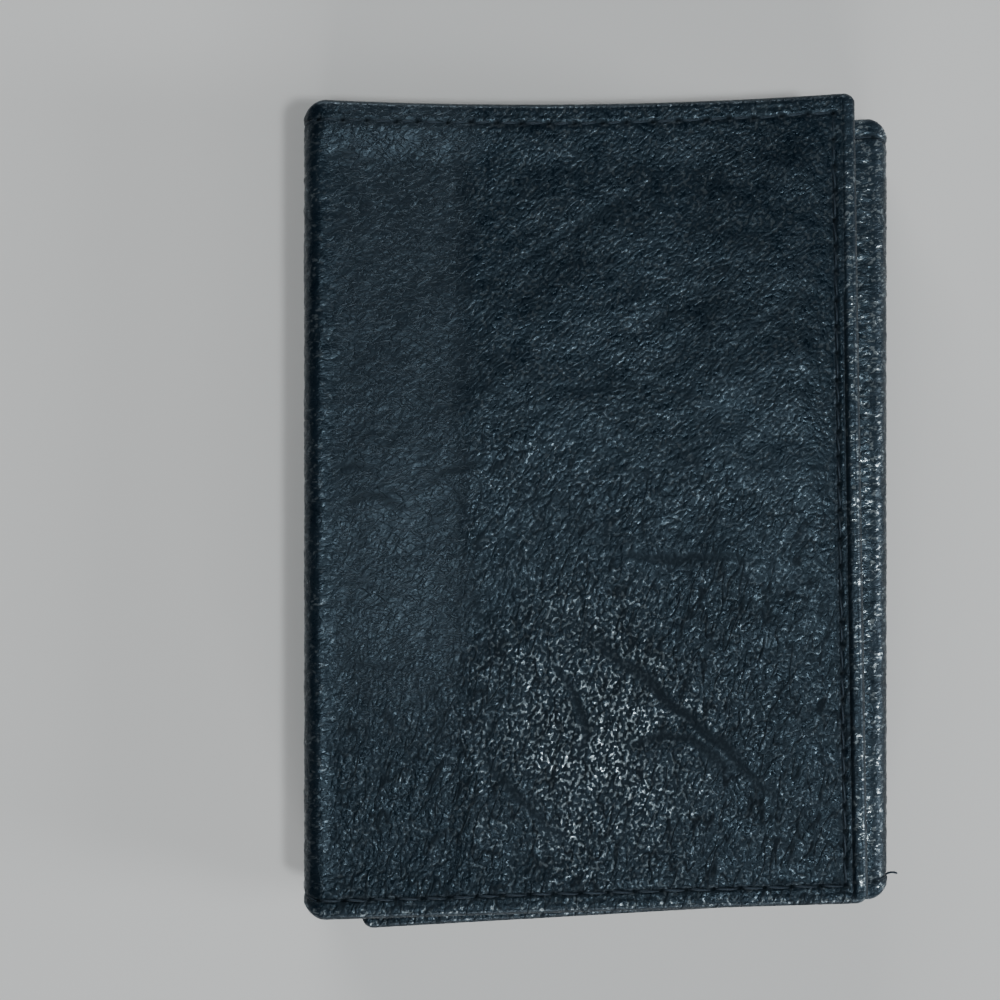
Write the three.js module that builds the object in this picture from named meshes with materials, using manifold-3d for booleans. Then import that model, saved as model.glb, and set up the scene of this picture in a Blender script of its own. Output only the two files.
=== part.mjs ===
// A trifold wallet, closed and lying on its centre panel. Millimetres, +Z up.
// X runs across the folds, from the cover fold (-X) to the inner fold (+X), and the banknote
// compartment opens towards +Y. The inner flap folds over the centre panel from +X, and the
// cover folds over both from -X. Each fold is a narrow spine between two right-angle bends.
import * as THREE from 'three';
import { mergeVertices } from 'three/addons/utils/BufferGeometryUtils.js';
import Module from 'manifold-3d';

const wasm = await Module();
wasm.setup();

// Sheet thicknesses and the spaces between the sheets
const LEATHER = 1.2;
const LINING = 0.3;
const NOTE_WALL = 0.5;
const NOTE_SPACE = 0.7;
const POCKET = 0.5;
const SLIP_POCKET = 0.6;
const FILM = 0.25;
const FRAME = 0.9;
const GAP = 0.3;
const FLAP_GAP = 0.35; // inner flap above the window frame
const LIFT_GAP = 1.8; // cover above the inner flap, which rises under it as both open

// Shell
const WIDTH = 79; // over both folds
const BEND = 3; // outer radius of every bend
const MITRE = 0.15 / (BEND - LEATHER); // half the angle left open between two halves of a bend
const CORNER = 1.5;
const FOLD_X = WIDTH / 2 - BEND; // where the flat panels end and the bends start

// Panels in plan: the fold side, then the free side (or the far fold of the centre panel)
const COVER_FOLD = { top: 55.05, bottom: -53.25 };
const INNER_FOLD = { top: 53.95, bottom: -52.05 };
const CENTRE = {
  fold: { x: -FOLD_X, ...COVER_FOLD },
  free: { topX: FOLD_X, bottomX: FOLD_X, ...INNER_FOLD },
  sag: 0, corner: 0,
};
const COVER = {
  fold: { x: -FOLD_X, ...COVER_FOLD },
  free: { topX: 33.4, bottomX: 35.2, top: 56, bottom: -51.05 },
  sag: 1.05, corner: CORNER,
};
const INNER_FLAP = {
  fold: { x: FOLD_X, ...INNER_FOLD },
  free: { topX: -32.1, bottomX: -32.1, top: 50.05, bottom: -56 },
  sag: 0, corner: CORNER,
};

// Insets of the inner sheets from the edges of their panel
const LINING_INSET = { fold: 0.5, free: 1.5, top: 1.5, bottom: 1.5 };
const WALL_INSET = { fold: 0.5, free: 0.8, top: 4.5, bottom: 0.8 };
const POCKET_INSET = { fold: 4.5, free: 0.8, bottom: 0.8 };
const POCKET_TOPS = [12, 21, 30]; // below the panel's top edge, from the rear pocket forward
const WINDOW_INSET = { fold: 5.5, free: 5.5, top: 6, bottom: 2 };
const WINDOW_BORDER = { x: 6.5, y: 8 };
const WINDOW_CORNER = 3;

// Seams
const THREAD_WIDTH = 0.7;
const THREAD_HEIGHT = 0.4;
const SEAM_CLEARANCE = 0.3;
const SEAM_INSET = { edge: 2.6, free: 3.1 };
const SEAM_STEPS = 8;
const FRAME_THREAD = 0.3;
const FRAME_SEAM_INSET = 2;
const THREAD_LIFT = 0.05; // keeps the underside's thread off the table

// Heights
const CENTRE_WALL_Z = LEATHER + GAP + LINING + NOTE_SPACE;
const SLIP_Z = CENTRE_WALL_Z + NOTE_WALL + GAP;
const FILM_Z = SLIP_Z + SLIP_POCKET + GAP;
const FRAME_Z = FILM_Z + FILM + GAP;
const FLAP_STACK = 3 * (POCKET + GAP) + NOTE_WALL + NOTE_SPACE + LINING + GAP + LEATHER;
const INNER_Z = FRAME_Z + FRAME + FLAP_GAP;
const INNER_TOP = INNER_Z + FLAP_STACK;
const COVER_Z = INNER_TOP + LIFT_GAP;
const COVER_TOP = COVER_Z + FLAP_STACK;

const material = (color, roughness, metalness = 0) => () =>
  new THREE.MeshStandardMaterial({ color, roughness, metalness });
const leather = material(0x1a232c, 0.5);
const pocketLeather = material(0x14181d, 0.6);
const fabric = material(0x17191c, 0.9);
const thread = material(0x0b0d10, 0.8);
const film = material(0xc9d2d6, 0.15);

// --- solids ---------------------------------------------------------------------------

function toSolid(geometry) {
  const bare = geometry.index ? geometry.toNonIndexed() : geometry.clone();
  bare.deleteAttribute('normal');
  bare.deleteAttribute('uv');
  const merged = mergeVertices(bare, 1e-4);
  const vertProperties = new Float32Array(merged.attributes.position.array);
  const triVerts = new Uint32Array(merged.index.array);
  return new wasm.Manifold(new wasm.Mesh({ numProp: 3, vertProperties, triVerts }));
}

function toGeometry(solid) {
  const { vertProperties, triVerts } = solid.getMesh();
  const geometry = new THREE.BufferGeometry();
  geometry.setAttribute('position', new THREE.BufferAttribute(vertProperties, 3));
  geometry.setIndex(new THREE.BufferAttribute(triVerts, 1));
  geometry.computeVertexNormals();
  return geometry;
}

function plate(shape, z0, z1) {
  const options = { depth: z1 - z0, bevelEnabled: false, curveSegments: 8 };
  return new THREE.ExtrudeGeometry(shape, options).translate(0, 0, z0);
}

function extrudeAlongY(shape, y0, y1) {
  const options = { depth: y1 - y0, bevelEnabled: false, curveSegments: 8 };
  return new THREE.ExtrudeGeometry(shape, options).rotateX(Math.PI / 2).translate(0, y1, 0);
}

function box(x0, x1, y0, y1, z0, z1) {
  const geometry = new THREE.BoxGeometry(x1 - x0, y1 - y0, z1 - z0);
  return geometry.translate((x0 + x1) / 2, (y0 + y1) / 2, (z0 + z1) / 2);
}

// --- outlines -------------------------------------------------------------------------

// A point on a panel's top edge, t from the fold side to the free side.
function topEdge({ fold, free, sag }, t, inset) {
  const x = THREE.MathUtils.lerp(fold.x, free.topX - Math.sign(free.topX) * inset.x, t);
  const y = THREE.MathUtils.lerp(fold.top, free.top, t) - 4 * sag * t * (1 - t) - inset.y;
  return new THREE.Vector2(x, y);
}

function panelShape(panel, inset, reach = 0) {
  const { fold, free, sag, corner } = panel;
  const side = Math.sign(free.topX);
  const foldX = fold.x + side * inset.fold;
  const top = fold.top - inset.top;
  const bottom = fold.bottom + inset.bottom;
  const far = { topX: free.topX - side * inset.free, bottomX: free.bottomX - side * inset.free };
  const farTop = free.top - inset.top;
  const farBottom = free.bottom + inset.bottom;
  const shape = new THREE.Shape();
  shape.moveTo(foldX - side * reach, bottom);
  shape.lineTo(foldX - side * reach, top);
  shape.lineTo(foldX, top);
  const dip = (top + farTop) / 2 - 2 * sag;
  shape.quadraticCurveTo((foldX + far.topX) / 2, dip, far.topX - side * corner, farTop);
  if (corner > 0) {
    shape.quadraticCurveTo(far.topX, farTop, far.topX, farTop - corner);
    shape.lineTo(far.bottomX, farBottom + corner);
    shape.quadraticCurveTo(far.bottomX, farBottom, far.bottomX - side * corner, farBottom);
  } else {
    shape.lineTo(far.topX + side * reach, farTop);
    shape.lineTo(far.bottomX + side * reach, farBottom);
    shape.lineTo(far.bottomX, farBottom);
  }
  shape.lineTo(foldX, bottom);
  return shape;
}

// A band of the given width along a line of points, with mitred corners.
function ribbon(points, width) {
  const normal = (a, b) => new THREE.Vector2(a.y - b.y, b.x - a.x).normalize();
  const offset = (sign) => points.map((point, i) => {
    const before = normal(points[Math.max(i - 1, 0)], points[Math.max(i, 1)]);
    const last = points.length - 1;
    const after = normal(points[Math.min(i, last - 1)], points[Math.min(i + 1, last)]);
    const mitre = before.clone().add(after).divideScalar(1 + before.dot(after));
    return point.clone().addScaledVector(mitre, sign * width / 2);
  });
  return new THREE.Shape([...offset(1), ...offset(-1).reverse()]);
}

function roundedRectangle(target, x0, x1, y0, y1, radius) {
  target.moveTo(x0 + radius, y0);
  target.lineTo(x1 - radius, y0);
  target.quadraticCurveTo(x1, y0, x1, y0 + radius);
  target.lineTo(x1, y1 - radius);
  target.quadraticCurveTo(x1, y1, x1 - radius, y1);
  target.lineTo(x0 + radius, y1);
  target.quadraticCurveTo(x0, y1, x0, y1 - radius);
  target.lineTo(x0, y0 + radius);
  target.quadraticCurveTo(x0, y0, x0 + radius, y0);
  return target;
}

// The seam round a flap: along its top edge, down its free edge and back along the bottom.
function flapSeam(panel) {
  const { fold, free } = panel;
  const side = Math.sign(free.topX);
  const start = SEAM_CLEARANCE + 0.2;
  const points = [];
  for (let i = 0; i <= SEAM_STEPS; i += 1) {
    points.push(topEdge(panel, i / SEAM_STEPS, { x: SEAM_INSET.free, y: SEAM_INSET.edge }));
  }
  points[0].x += side * start;
  points.push(new THREE.Vector2(free.bottomX - side * SEAM_INSET.free,
    free.bottom + SEAM_INSET.edge));
  points.push(new THREE.Vector2(fold.x + side * start, fold.bottom + SEAM_INSET.edge));
  return points;
}

function centreSeam(edge, direction) {
  const { fold, free } = CENTRE;
  const inset = direction * SEAM_INSET.edge;
  const start = SEAM_CLEARANCE + 0.2;
  return [new THREE.Vector2(fold.x + start, fold[edge] - inset),
    new THREE.Vector2(free.topX - start, free[edge] - inset)];
}

// --- shell ----------------------------------------------------------------------------

// The four bends of the shell, by the centre of each bend's arc.
const COVER_LOWER = { x: -FOLD_X, z: BEND };
const COVER_UPPER = { x: -FOLD_X, z: COVER_TOP - BEND };
const INNER_LOWER = { x: FOLD_X, z: BEND };
const INNER_UPPER = { x: FOLD_X, z: INNER_TOP - BEND };

function arcPoints({ x, z }, radius, from, to) {
  const steps = 4;
  return Array.from({ length: steps + 1 }, (_, i) => {
    const angle = THREE.MathUtils.lerp(from, to, i / steps);
    return new THREE.Vector2(x + radius * Math.cos(angle), z + radius * Math.sin(angle));
  });
}

// Half a bend, from one angle to the other in eighths of a turn; an odd eighth is the mitre.
function halfBend(centre, from, to) {
  const angle = (eighth, inward) =>
    eighth * Math.PI / 4 + (eighth % 2 === 0 ? 0 : inward * MITRE);
  return { centre, from: angle(from, 1), to: angle(to, -1) };
}

// A shell panel's section: its half bends in order, anticlockwise, and any flat free end.
function shellSection(bends, freeEnd = null) {
  const arc = (bend, radius) => arcPoints(bend.centre, radius, bend.from, bend.to);
  const outer = bends.flatMap((bend) => arc(bend, BEND));
  const inner = bends.flatMap((bend) => arc(bend, BEND - LEATHER)).reverse();
  const end = freeEnd ? [new THREE.Vector2(freeEnd.x, freeEnd.z - LEATHER),
    new THREE.Vector2(freeEnd.x, freeEnd.z)] : [];
  const rest = freeEnd && freeEnd.x < 0 ? [...end].reverse() : [];
  const first = freeEnd && freeEnd.x > 0 ? end : [];
  return new THREE.Shape([...outer, ...rest, ...inner, ...first]);
}

function shellPanel(section, panel) {
  const none = { fold: 0, free: 0, top: 0, bottom: 0 };
  const limit = 60;
  const outline = plate(panelShape(panel, none, BEND + 1), -1, COVER_TOP + 1);
  return toSolid(extrudeAlongY(section, -limit, limit)).intersect(toSolid(outline));
}

function grooved(solid, points, faceZ, inward) {
  const depth = THREAD_HEIGHT + SEAM_CLEARANCE;
  const shape = ribbon(stretched(points), THREAD_WIDTH + 2 * SEAM_CLEARANCE);
  const [z0, z1] = [faceZ + inward * depth, faceZ - inward].sort((a, b) => a - b);
  return solid.subtract(toSolid(plate(shape, z0, z1)));
}

// The same line of points with both ends moved out by the seam's clearance.
function stretched(points) {
  const moved = points.map((point) => point.clone());
  const last = points.length - 1;
  for (const [end, next] of [[0, 1], [last, last - 1]]) {
    const out = points[end].clone().sub(points[next]).setLength(SEAM_CLEARANCE);
    moved[end].add(out);
  }
  return moved;
}

// A spine with a groove for each of its two seams, on the outer face at faceX.
function spineLeather(bends, fold, faceX) {
  let solid = toSolid(extrudeAlongY(shellSection(bends), fold.bottom, fold.top));
  for (const seam of spineSeams(bends, fold, faceX, SEAM_CLEARANCE)) {
    solid = solid.subtract(toSolid(seam));
  }
  return toGeometry(solid);
}

// The two straight seams of a spine, upper (+Y) first, grown by a clearance for the groove.
function spineSeams(bends, fold, faceX, grow = 0) {
  const side = Math.sign(faceX);
  const heights = bends.map((bend) => bend.centre.z).sort((a, b) => a - b);
  const start = SEAM_CLEARANCE + 0.2;
  const inner = faceX - side * (THREAD_HEIGHT + grow);
  const outer = faceX + side * grow;
  return [fold.top - SEAM_INSET.edge, fold.bottom + SEAM_INSET.edge].map((y) => box(
    Math.min(inner, outer), Math.max(inner, outer),
    y - THREAD_WIDTH / 2 - grow, y + THREAD_WIDTH / 2 + grow,
    heights[0] + start - grow, heights[1] - start + grow,
  ));
}

// --- pieces, each [name, geometry, material] --------------------------------------------

function flapShell(name, section, panel, topZ) {
  const seam = flapSeam(panel);
  const solid = grooved(shellPanel(section, panel), seam, topZ, -1);
  return [
    [`${name}_leather`, toGeometry(solid), leather],
    [`${name}_seam_thread`, plate(ribbon(seam, THREAD_WIDTH), topZ - THREAD_HEIGHT, topZ), thread],
  ];
}

// Lining, note wall and three stepped pockets, from the outer leather at topZ downwards.
function flapSheets(name, panel, topZ) {
  const liningZ = topZ - LEATHER - GAP - LINING;
  const wallZ = liningZ - NOTE_SPACE - NOTE_WALL;
  const pieces = [
    [`${name}_lining`, plate(panelShape(panel, LINING_INSET), liningZ, liningZ + LINING), fabric],
    [`${name}_note_wall`, plate(panelShape(panel, WALL_INSET), wallZ, wallZ + NOTE_WALL),
      pocketLeather],
  ];
  POCKET_TOPS.forEach((top, i) => {
    const z = wallZ - (i + 1) * (POCKET + GAP);
    const shape = panelShape({ ...panel, sag: 0 }, { ...POCKET_INSET, top });
    pieces.push([`${name}_card_pocket_${i + 1}`, plate(shape, z, z + POCKET), pocketLeather]);
  });
  return pieces;
}

function centreShell() {
  const bends = [halfBend(COVER_LOWER, 5, 6), halfBend(INNER_LOWER, 6, 7)];
  const seams = { upper: centreSeam('top', 1), lower: centreSeam('bottom', -1) };
  let solid = shellPanel(shellSection(bends), CENTRE);
  const pieces = [];
  for (const [name, seam] of Object.entries(seams)) {
    solid = grooved(solid, seam, 0, 1);
    const body = plate(ribbon(seam, THREAD_WIDTH), THREAD_LIFT, THREAD_LIFT + THREAD_HEIGHT);
    pieces.push([`centre_${name}_seam_thread`, body, thread]);
  }
  return [['centre_leather', toGeometry(solid), leather], ...pieces];
}

function centreSheets() {
  const liningZ = LEATHER + GAP;
  const liningInset = { ...LINING_INSET, free: LINING_INSET.fold };
  const wallInset = { ...WALL_INSET, free: WALL_INSET.fold };
  const slipInset = { ...WINDOW_INSET, top: WINDOW_INSET.top + 4 };
  return [
    ['centre_lining', plate(panelShape(CENTRE, liningInset), liningZ, liningZ + LINING), fabric],
    ['centre_note_wall', plate(panelShape(CENTRE, wallInset), CENTRE_WALL_Z,
      CENTRE_WALL_Z + NOTE_WALL), pocketLeather],
    ['centre_slip_pocket', plate(panelShape(CENTRE, slipInset), SLIP_Z, SLIP_Z + SLIP_POCKET),
      pocketLeather],
  ];
}

// The identity-card window: a leather frame over clear film, sewn round its border.
function windowPieces() {
  const x = FOLD_X - WINDOW_INSET.fold;
  const y0 = INNER_FOLD.bottom + WINDOW_INSET.bottom;
  const y1 = INNER_FOLD.top - WINDOW_INSET.top;
  const opening = { x: x - WINDOW_BORDER.x, y0: y0 + WINDOW_BORDER.y, y1: y1 - WINDOW_BORDER.y };
  const frameShape = roundedRectangle(new THREE.Shape(), -x, x, y0, y1, CORNER);
  frameShape.holes.push(roundedRectangle(new THREE.Path(), -opening.x, opening.x,
    opening.y0, opening.y1, WINDOW_CORNER));
  const seamBand = (width) => {
    const [outer, inner] = [FRAME_SEAM_INSET - width / 2, FRAME_SEAM_INSET + width / 2];
    const ring = roundedRectangle(new THREE.Shape(), outer - x, x - outer, y0 + outer, y1 - outer,
      CORNER);
    ring.holes.push(roundedRectangle(new THREE.Path(), inner - x, x - inner, y0 + inner,
      y1 - inner, CORNER));
    return ring;
  };
  const top = FRAME_Z + FRAME;
  const grooveFloor = top - FRAME_THREAD - SEAM_CLEARANCE;
  const groove = plate(seamBand(THREAD_WIDTH + 2 * SEAM_CLEARANCE), grooveFloor, top + 1);
  const frame = toSolid(plate(frameShape, FRAME_Z, top)).subtract(toSolid(groove));
  const filmShape = roundedRectangle(new THREE.Shape(), 1 - x, x - 1, y0 + 1, y1 - 1, CORNER);
  return [
    ['id_window_film', plate(filmShape, FILM_Z, FILM_Z + FILM), film],
    ['id_window_frame', toGeometry(frame), pocketLeather],
    ['id_frame_seam_thread', plate(seamBand(THREAD_WIDTH), top - FRAME_THREAD, top), thread],
  ];
}

// A fold: the spine's leather, lining, note wall and seams, between two bends.
function spinePieces(name, bends, fold, faceX) {
  const side = Math.sign(faceX);
  const heights = bends.map((bend) => bend.centre.z).sort((a, b) => a - b);
  const sheet = (depth, thickness, inset) => {
    const xs = [faceX - side * depth, faceX - side * (depth + thickness)].sort((a, b) => a - b);
    return box(...xs, fold.bottom + inset.bottom, fold.top - inset.top,
      heights[0] + inset.fold, heights[1] - inset.fold);
  };
  const liningDepth = LEATHER + GAP;
  const wallDepth = liningDepth + LINING + NOTE_SPACE;
  const [upper, lower] = spineSeams(bends, fold, faceX);
  return [
    [`${name}_leather`, spineLeather(bends, fold, faceX), leather],
    [`${name}_lining`, sheet(liningDepth, LINING, LINING_INSET), fabric],
    [`${name}_note_wall`, sheet(wallDepth, NOTE_WALL, WALL_INSET), pocketLeather],
    [`${name}_upper_seam_thread`, upper, thread],
    [`${name}_lower_seam_thread`, lower, thread],
  ];
}

function walletPieces() {
  const coverBends = [halfBend(COVER_UPPER, 3, 4), halfBend(COVER_LOWER, 4, 5)];
  const innerBends = [halfBend(INNER_LOWER, 7, 8), halfBend(INNER_UPPER, 0, 1)];
  const coverSection = shellSection([halfBend(COVER_UPPER, 2, 3)],
    { x: FOLD_X, z: COVER_TOP });
  const flapSection = shellSection([halfBend(INNER_UPPER, 1, 2)],
    { x: -FOLD_X, z: INNER_TOP });
  return [
    ...centreShell(),
    ...centreSheets(),
    ...windowPieces(),
    ...spinePieces('cover_spine', coverBends, COVER_FOLD, -WIDTH / 2),
    ...flapShell('cover', coverSection, COVER, COVER_TOP),
    ...flapSheets('cover', COVER, COVER_TOP),
    ...spinePieces('inner_spine', innerBends, INNER_FOLD, WIDTH / 2),
    ...flapShell('inner_flap', flapSection, INNER_FLAP, INNER_TOP),
    ...flapSheets('inner_flap', INNER_FLAP, INNER_TOP),
  ];
}

const wallet = new THREE.Group();
for (const [name, geometry, finish] of walletPieces()) {
  const mesh = new THREE.Mesh(geometry, finish());
  mesh.name = name;
  wallet.add(mesh);
}

export default wallet;
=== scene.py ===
"""The looks of a worn black leather trifold wallet, closed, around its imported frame."""
import math

import bpy
import numpy as np
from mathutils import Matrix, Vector


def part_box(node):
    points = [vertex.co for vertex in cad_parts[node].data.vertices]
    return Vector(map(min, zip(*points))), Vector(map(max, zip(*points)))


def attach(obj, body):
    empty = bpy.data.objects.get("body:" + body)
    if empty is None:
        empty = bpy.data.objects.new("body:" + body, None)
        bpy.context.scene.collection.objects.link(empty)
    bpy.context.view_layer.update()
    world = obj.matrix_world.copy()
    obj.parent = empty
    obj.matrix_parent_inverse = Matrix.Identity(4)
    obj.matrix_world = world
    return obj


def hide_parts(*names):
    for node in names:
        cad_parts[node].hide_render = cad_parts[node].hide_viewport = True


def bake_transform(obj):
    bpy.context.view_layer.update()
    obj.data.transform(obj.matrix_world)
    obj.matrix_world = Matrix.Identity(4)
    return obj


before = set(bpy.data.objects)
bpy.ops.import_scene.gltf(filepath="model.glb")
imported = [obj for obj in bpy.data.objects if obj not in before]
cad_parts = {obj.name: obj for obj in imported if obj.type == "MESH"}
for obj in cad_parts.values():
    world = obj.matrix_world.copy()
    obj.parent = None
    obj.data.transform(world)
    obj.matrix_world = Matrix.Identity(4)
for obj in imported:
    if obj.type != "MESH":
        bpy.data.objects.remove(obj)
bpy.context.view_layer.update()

# Everything below is worked out in millimetres and turned to metres where a mesh is made.
MM = 0.001


def node_box(node):
    low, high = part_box(node)
    return np.array(low) / MM, np.array(high) / MM


# --- driving dimensions -----------------------------------------------------------------

LEFT = node_box("cover_spine_leather")[0][0]
RIGHT = node_box("inner_spine_leather")[1][0]
COVER_TOP = node_box("cover_leather")[1][2]
INNER_TOP = node_box("inner_flap_leather")[1][2]
BEND = 3.0
LEATHER = 1.2
RIM = 2.0            # the turned edge, two layers of leather
CORNER = 1.6
FOLD_PINCH = 1.9     # how far the shell's edges draw in at the folds
SEAM_INSET = 2.6
FREE_SEAM_INSET = 3.1
SPINE_SEAM_INSET = 1.4
GRID = 0.34

COVER_FREE = {"top": 33.4, "bottom": 35.2}
INNER_FREE = -32.1
COVER_SAG = 1.05
SPINE_TOPS = {"cover": 55.05, "inner": 53.95}
SPINE_BOTTOMS = {"cover": -53.25, "inner": -52.05}
FREE_TOPS = {"cover": 56.0, "inner": 50.05}
FREE_BOTTOMS = {"cover": -51.05, "inner": -56.0}
PANEL_HEIGHT = FREE_TOPS["cover"] - FREE_BOTTOMS["cover"]

# --- noise ------------------------------------------------------------------------------

TABLE = 256
_tables = {}


def table_of(seed):
    if seed not in _tables:
        _tables[seed] = np.random.default_rng(seed).random((TABLE, TABLE, 2))
    return _tables[seed]


def noise(x, y, seed):
    """Smooth gradient noise from about -1 to 1, with one cell per unit."""
    x, y = np.broadcast_arrays(x, y)
    cell_x, cell_y = np.floor(x).astype(int), np.floor(y).astype(int)
    fx, fy = x - cell_x, y - cell_y
    angles = table_of(seed)[..., 0] * 2 * math.pi

    def corner(dx, dy):
        angle = angles[(cell_x + dx) % TABLE, (cell_y + dy) % TABLE]
        return np.cos(angle) * (fx - dx) + np.sin(angle) * (fy - dy)

    u, v = (f * f * f * (f * (f * 6 - 15) + 10) for f in (fx, fy))
    low = corner(0, 0) * (1 - u) + corner(1, 0) * u
    high = corner(0, 1) * (1 - u) + corner(1, 1) * u
    return 1.5 * (low * (1 - v) + high * v)


def fractal(x, y, seed, octaves=3):
    return sum(noise(x * 2 ** k, y * 2 ** k, seed + k) / 2 ** k for k in range(octaves))


def patches(x, y, size, seed):
    """Soft patches from 0 to 1."""
    return np.clip(0.5 + 0.5 * fractal(x / size, y / size, seed), 0, 1)


def smooth(t):
    t = np.clip(t, 0, 1)
    return t * t * (3 - 2 * t)


def bell(offset, width, power=2):
    """1 in the middle of a band, falling to 0 beside it."""
    return np.exp(-(offset / width) ** power)


def turned(x, y, degrees):
    c, s = math.cos(math.radians(degrees)), math.sin(math.radians(degrees))
    return x * c + y * s, y * c - x * s


# --- the shell's section, and the layers inside it ----------------------------------------

STATIONS = ["cover_free", "cover_fold", "cover_spine_top", "cover_spine_middle",
            "cover_spine_bottom", "centre_start", "centre_end", "inner_spine_bottom",
            "inner_spine_middle", "inner_spine_top", "inner_fold", "inner_free"]


class Path:
    """A layer's section, from the cover's free edge round to the inner flap's, at a depth
    below the shell's outer face and with bends of a radius."""

    def __init__(self, depth, radius):
        self.depth, self.radius = depth, radius
        left, right = LEFT + depth, RIGHT - depth
        high, inner_high = COVER_TOP - depth, INNER_TOP - depth
        arc, r = radius * math.pi / 2, radius
        cover_spine, inner_spine = high - depth - 2 * r, inner_high - depth - 2 * r
        lengths = [max(COVER_FREE.values()) - left - r, arc, cover_spine / 2,
                   cover_spine / 2, arc, right - left - 2 * r, arc, inner_spine / 2,
                   inner_spine / 2, arc, right - r - INNER_FREE]
        self.at = dict(zip(STATIONS, np.concatenate([[0], np.cumsum(lengths)]).tolist()))
        self.lines = [
            ("cover_free", (max(COVER_FREE.values()), high), 180),
            ("cover_spine_top", (left, high - r), 270),
            ("centre_start", (left + r, depth), 0),
            ("inner_spine_bottom", (right, depth + r), 90),
            ("inner_fold", (right - r, inner_high), 180),
        ]
        self.arcs = [
            ("cover_fold", (left + r, high - r), 90),
            ("cover_spine_bottom", (left + r, depth + r), 180),
            ("centre_end", (right - r, depth + r), 270),
            ("inner_spine_top", (right - r, inner_high - r), 0),
        ]

    def section(self, along):
        """X, Z and the outward normal's X and Z, at distances along the path."""
        along = np.asarray(along, float)
        x, z, nx, nz = (np.zeros(along.shape) for _ in range(4))
        for name, start, degrees in self.lines:
            on = along >= self.at[name] - 1e-9
            reach = along - self.at[name]
            dx, dz = math.cos(math.radians(degrees)), math.sin(math.radians(degrees))
            x = np.where(on, start[0] + reach * dx, x)
            z = np.where(on, start[1] + reach * dz, z)
            nx, nz = np.where(on, dz, nx), np.where(on, -dx, nz)
        for name, centre, degrees in self.arcs:
            reach = along - self.at[name]
            on = (reach >= 0) & (reach < self.radius * math.pi / 2)
            angle = math.radians(degrees) + reach / self.radius
            x = np.where(on, centre[0] + self.radius * np.cos(angle), x)
            z = np.where(on, centre[1] + self.radius * np.sin(angle), z)
            nx, nz = np.where(on, np.cos(angle), nx), np.where(on, np.sin(angle), nz)
        return x, z, nx, nz

    def pinch(self, along, x):
        """How far the long edges draw in at the folds."""
        left = (along > self.at["cover_fold"]) & (along < self.at["centre_start"])
        right = (along > self.at["centre_end"]) & (along < self.at["inner_fold"])
        off = np.where(left, x - LEFT, np.where(right, RIGHT - x, BEND))
        return rounded(off * FOLD_PINCH / BEND, FOLD_PINCH)

    def edges(self, along):
        """The shell's top and bottom edge, in Y, before its corners are rounded."""
        keys = [self.at[k] for k in ("cover_free", "cover_fold", "centre_start",
                                     "centre_end", "inner_fold", "inner_free")]

        def edge(free, spine):
            values = [free["cover"]] + [spine["cover"]] * 2 + [spine["inner"]] * 2
            return np.interp(along, keys, values + [free["inner"]])

        share = np.clip(along / self.at["cover_fold"], 0, 1)
        sag = 4 * COVER_SAG * share * (1 - share)
        return edge(FREE_TOPS, SPINE_TOPS) - sag, edge(FREE_BOTTOMS, SPINE_BOTTOMS)

    def skewed(self, along, x, y):
        """X with the slant of the cover's free edge."""
        reach = (y - FREE_BOTTOMS["cover"]) / (FREE_TOPS["cover"] - FREE_BOTTOMS["cover"])
        edge = COVER_FREE["bottom"] + (COVER_FREE["top"] - COVER_FREE["bottom"]) * reach
        fold = LEFT + self.depth + self.radius
        scale = (edge - fold) / (max(COVER_FREE.values()) - fold)
        return np.where(along < self.at["cover_fold"], fold + (x - fold) * scale, x)

    def spot(self, along):
        """X, Z and the outward normal's X and Z, at one distance along the path."""
        return tuple(float(v) for v in self.section(np.array(along)))

    def place(self, along, y, lift):
        """One point, a height above the path's face."""
        x, z, nx, nz = self.spot(along)
        x = float(self.skewed(np.array(along), np.array(x), np.array(y)))
        return np.array([x + nx * lift, y, z + nz * lift])

    def matching(self, other, along):
        """Where on this path a distance along another one lies."""
        return float(np.interp(along, list(other.at.values()), list(self.at.values())))


SHELL = Path(0, BEND)


def rounded(distance, radius):
    """How far a round corner draws in, at a distance from the side it ends at."""
    rest = np.clip(radius - distance, 0, radius)
    return radius - np.sqrt(np.maximum(radius ** 2 - rest ** 2, 0))


class Strip:
    """Points of a layer on a grid: distances along its path, and shares of its height.
    rolled says whether the grid's first and last rows are edges of the layer."""

    def __init__(self, path, along, share, rolled, top=0.0, bottom=0.0, corner=CORNER):
        self.path = path
        ends = [np.abs(along - along[k]) for k, edge in zip((0, -1), rolled) if edge]
        free = np.minimum.reduce(ends) if ends else np.full(along.shape, 99.0)
        self.along, self.share, self.free = np.broadcast_arrays(
            along[:, None], share[None, :], free[:, None])
        self.x, self.z, self.nx, self.nz = path.section(self.along)
        high, low = path.edges(self.along)
        self.pinch = path.pinch(self.along, self.x)
        drawn = self.pinch + rounded(self.free, corner)
        self.top, self.bottom = high - top - drawn, low + bottom + drawn
        self.y = self.bottom + (self.top - self.bottom) * self.share
        self.x = path.skewed(self.along, self.x, self.y)
        self.side = np.minimum(self.top - self.y, self.y - self.bottom)
        self.edge = np.minimum(self.side, self.free)
        margin = seam_margin(self.pinch)
        on_flap = (self.along < path.at["cover_fold"]) | (self.along > path.at["inner_fold"])
        outermost = np.minimum(self.along, path.at["inner_free"] - self.along)
        self.seam = np.minimum(high - margin - self.y, self.y - low - margin)
        self.seam = np.where(on_flap, np.minimum(self.seam, outermost - FREE_SEAM_INSET),
                             self.seam)

    def lifted(self, height):
        return np.stack([self.x + self.nx * height, self.y, self.z + self.nz * height], -1)


def seam_margin(pinch):
    """How far the long seams lie inside the shell's unrounded edge."""
    return pinch + SEAM_INSET + (SPINE_SEAM_INSET - SEAM_INSET) * pinch / FOLD_PINCH


# --- needle holes -----------------------------------------------------------------------

PITCH = 3.5


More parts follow.
